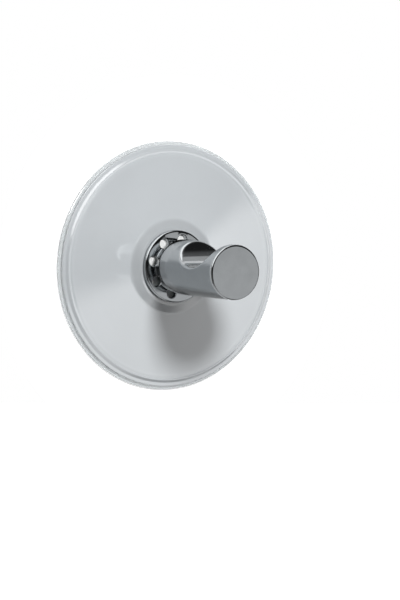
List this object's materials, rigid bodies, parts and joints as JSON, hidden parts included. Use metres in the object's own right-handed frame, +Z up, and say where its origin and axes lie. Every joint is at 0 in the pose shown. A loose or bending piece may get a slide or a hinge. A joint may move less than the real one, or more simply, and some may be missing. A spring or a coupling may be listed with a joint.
{
  "type": "suction hook",
  "caption": "Wall hook held by a suction cup under a clear cover dish, drawn tight by a ring nut behind a round metal peg with a saddle for a towel loop.",
  "frame": {"origin": "on the wall plane, where the hook's axis meets it", "axes": "+Z up, -Y from the wall out along the peg, +X to the right as seen from the front"},
  "size_m": [0.085, 0.0485, 0.085],
  "materials": {
    "soft_clear": "soft clear vinyl, nearly colourless",
    "clear_dish": "glossy translucent hard plastic",
    "nylon": "natural nylon",
    "chrome_ring": "polished chrome",
    "chrome_peg": "polished chrome with a slight haze",
    "plated_steel": "zinc plated",
    "dark_steel": "blackened"
  },
  "bodies": {
    "base": {"suction_cup": "soft_clear", "cover_dish": "clear_dish", "slip_washer": "nylon"},
    "nut": {"ring_nut": "chrome_ring"},
    "hook": {"draw_stud": "plated_steel", "anchor_plate": "plated_steel", "peg": "chrome_peg", "set_screw": "dark_steel"}
  },
  "joints": [
    {"name": "ring_turn", "type": "hinge", "parent": "base", "child": "nut", "pos_m": [0, -0.0074, 0], "axis": [0, 1, 0], "range_deg": [0, 360]},
    {"name": "stud_draw", "type": "slide", "parent": "base", "child": "hook", "axis": [0, -1, 0], "range_m": [0, 0.00125], "deforming": ["suction_cup"]}
  ],
  "couplings": [
    {"joint": "ring_turn", "follows": "stud_draw", "rad_per_m": 5026.5}
  ]
}
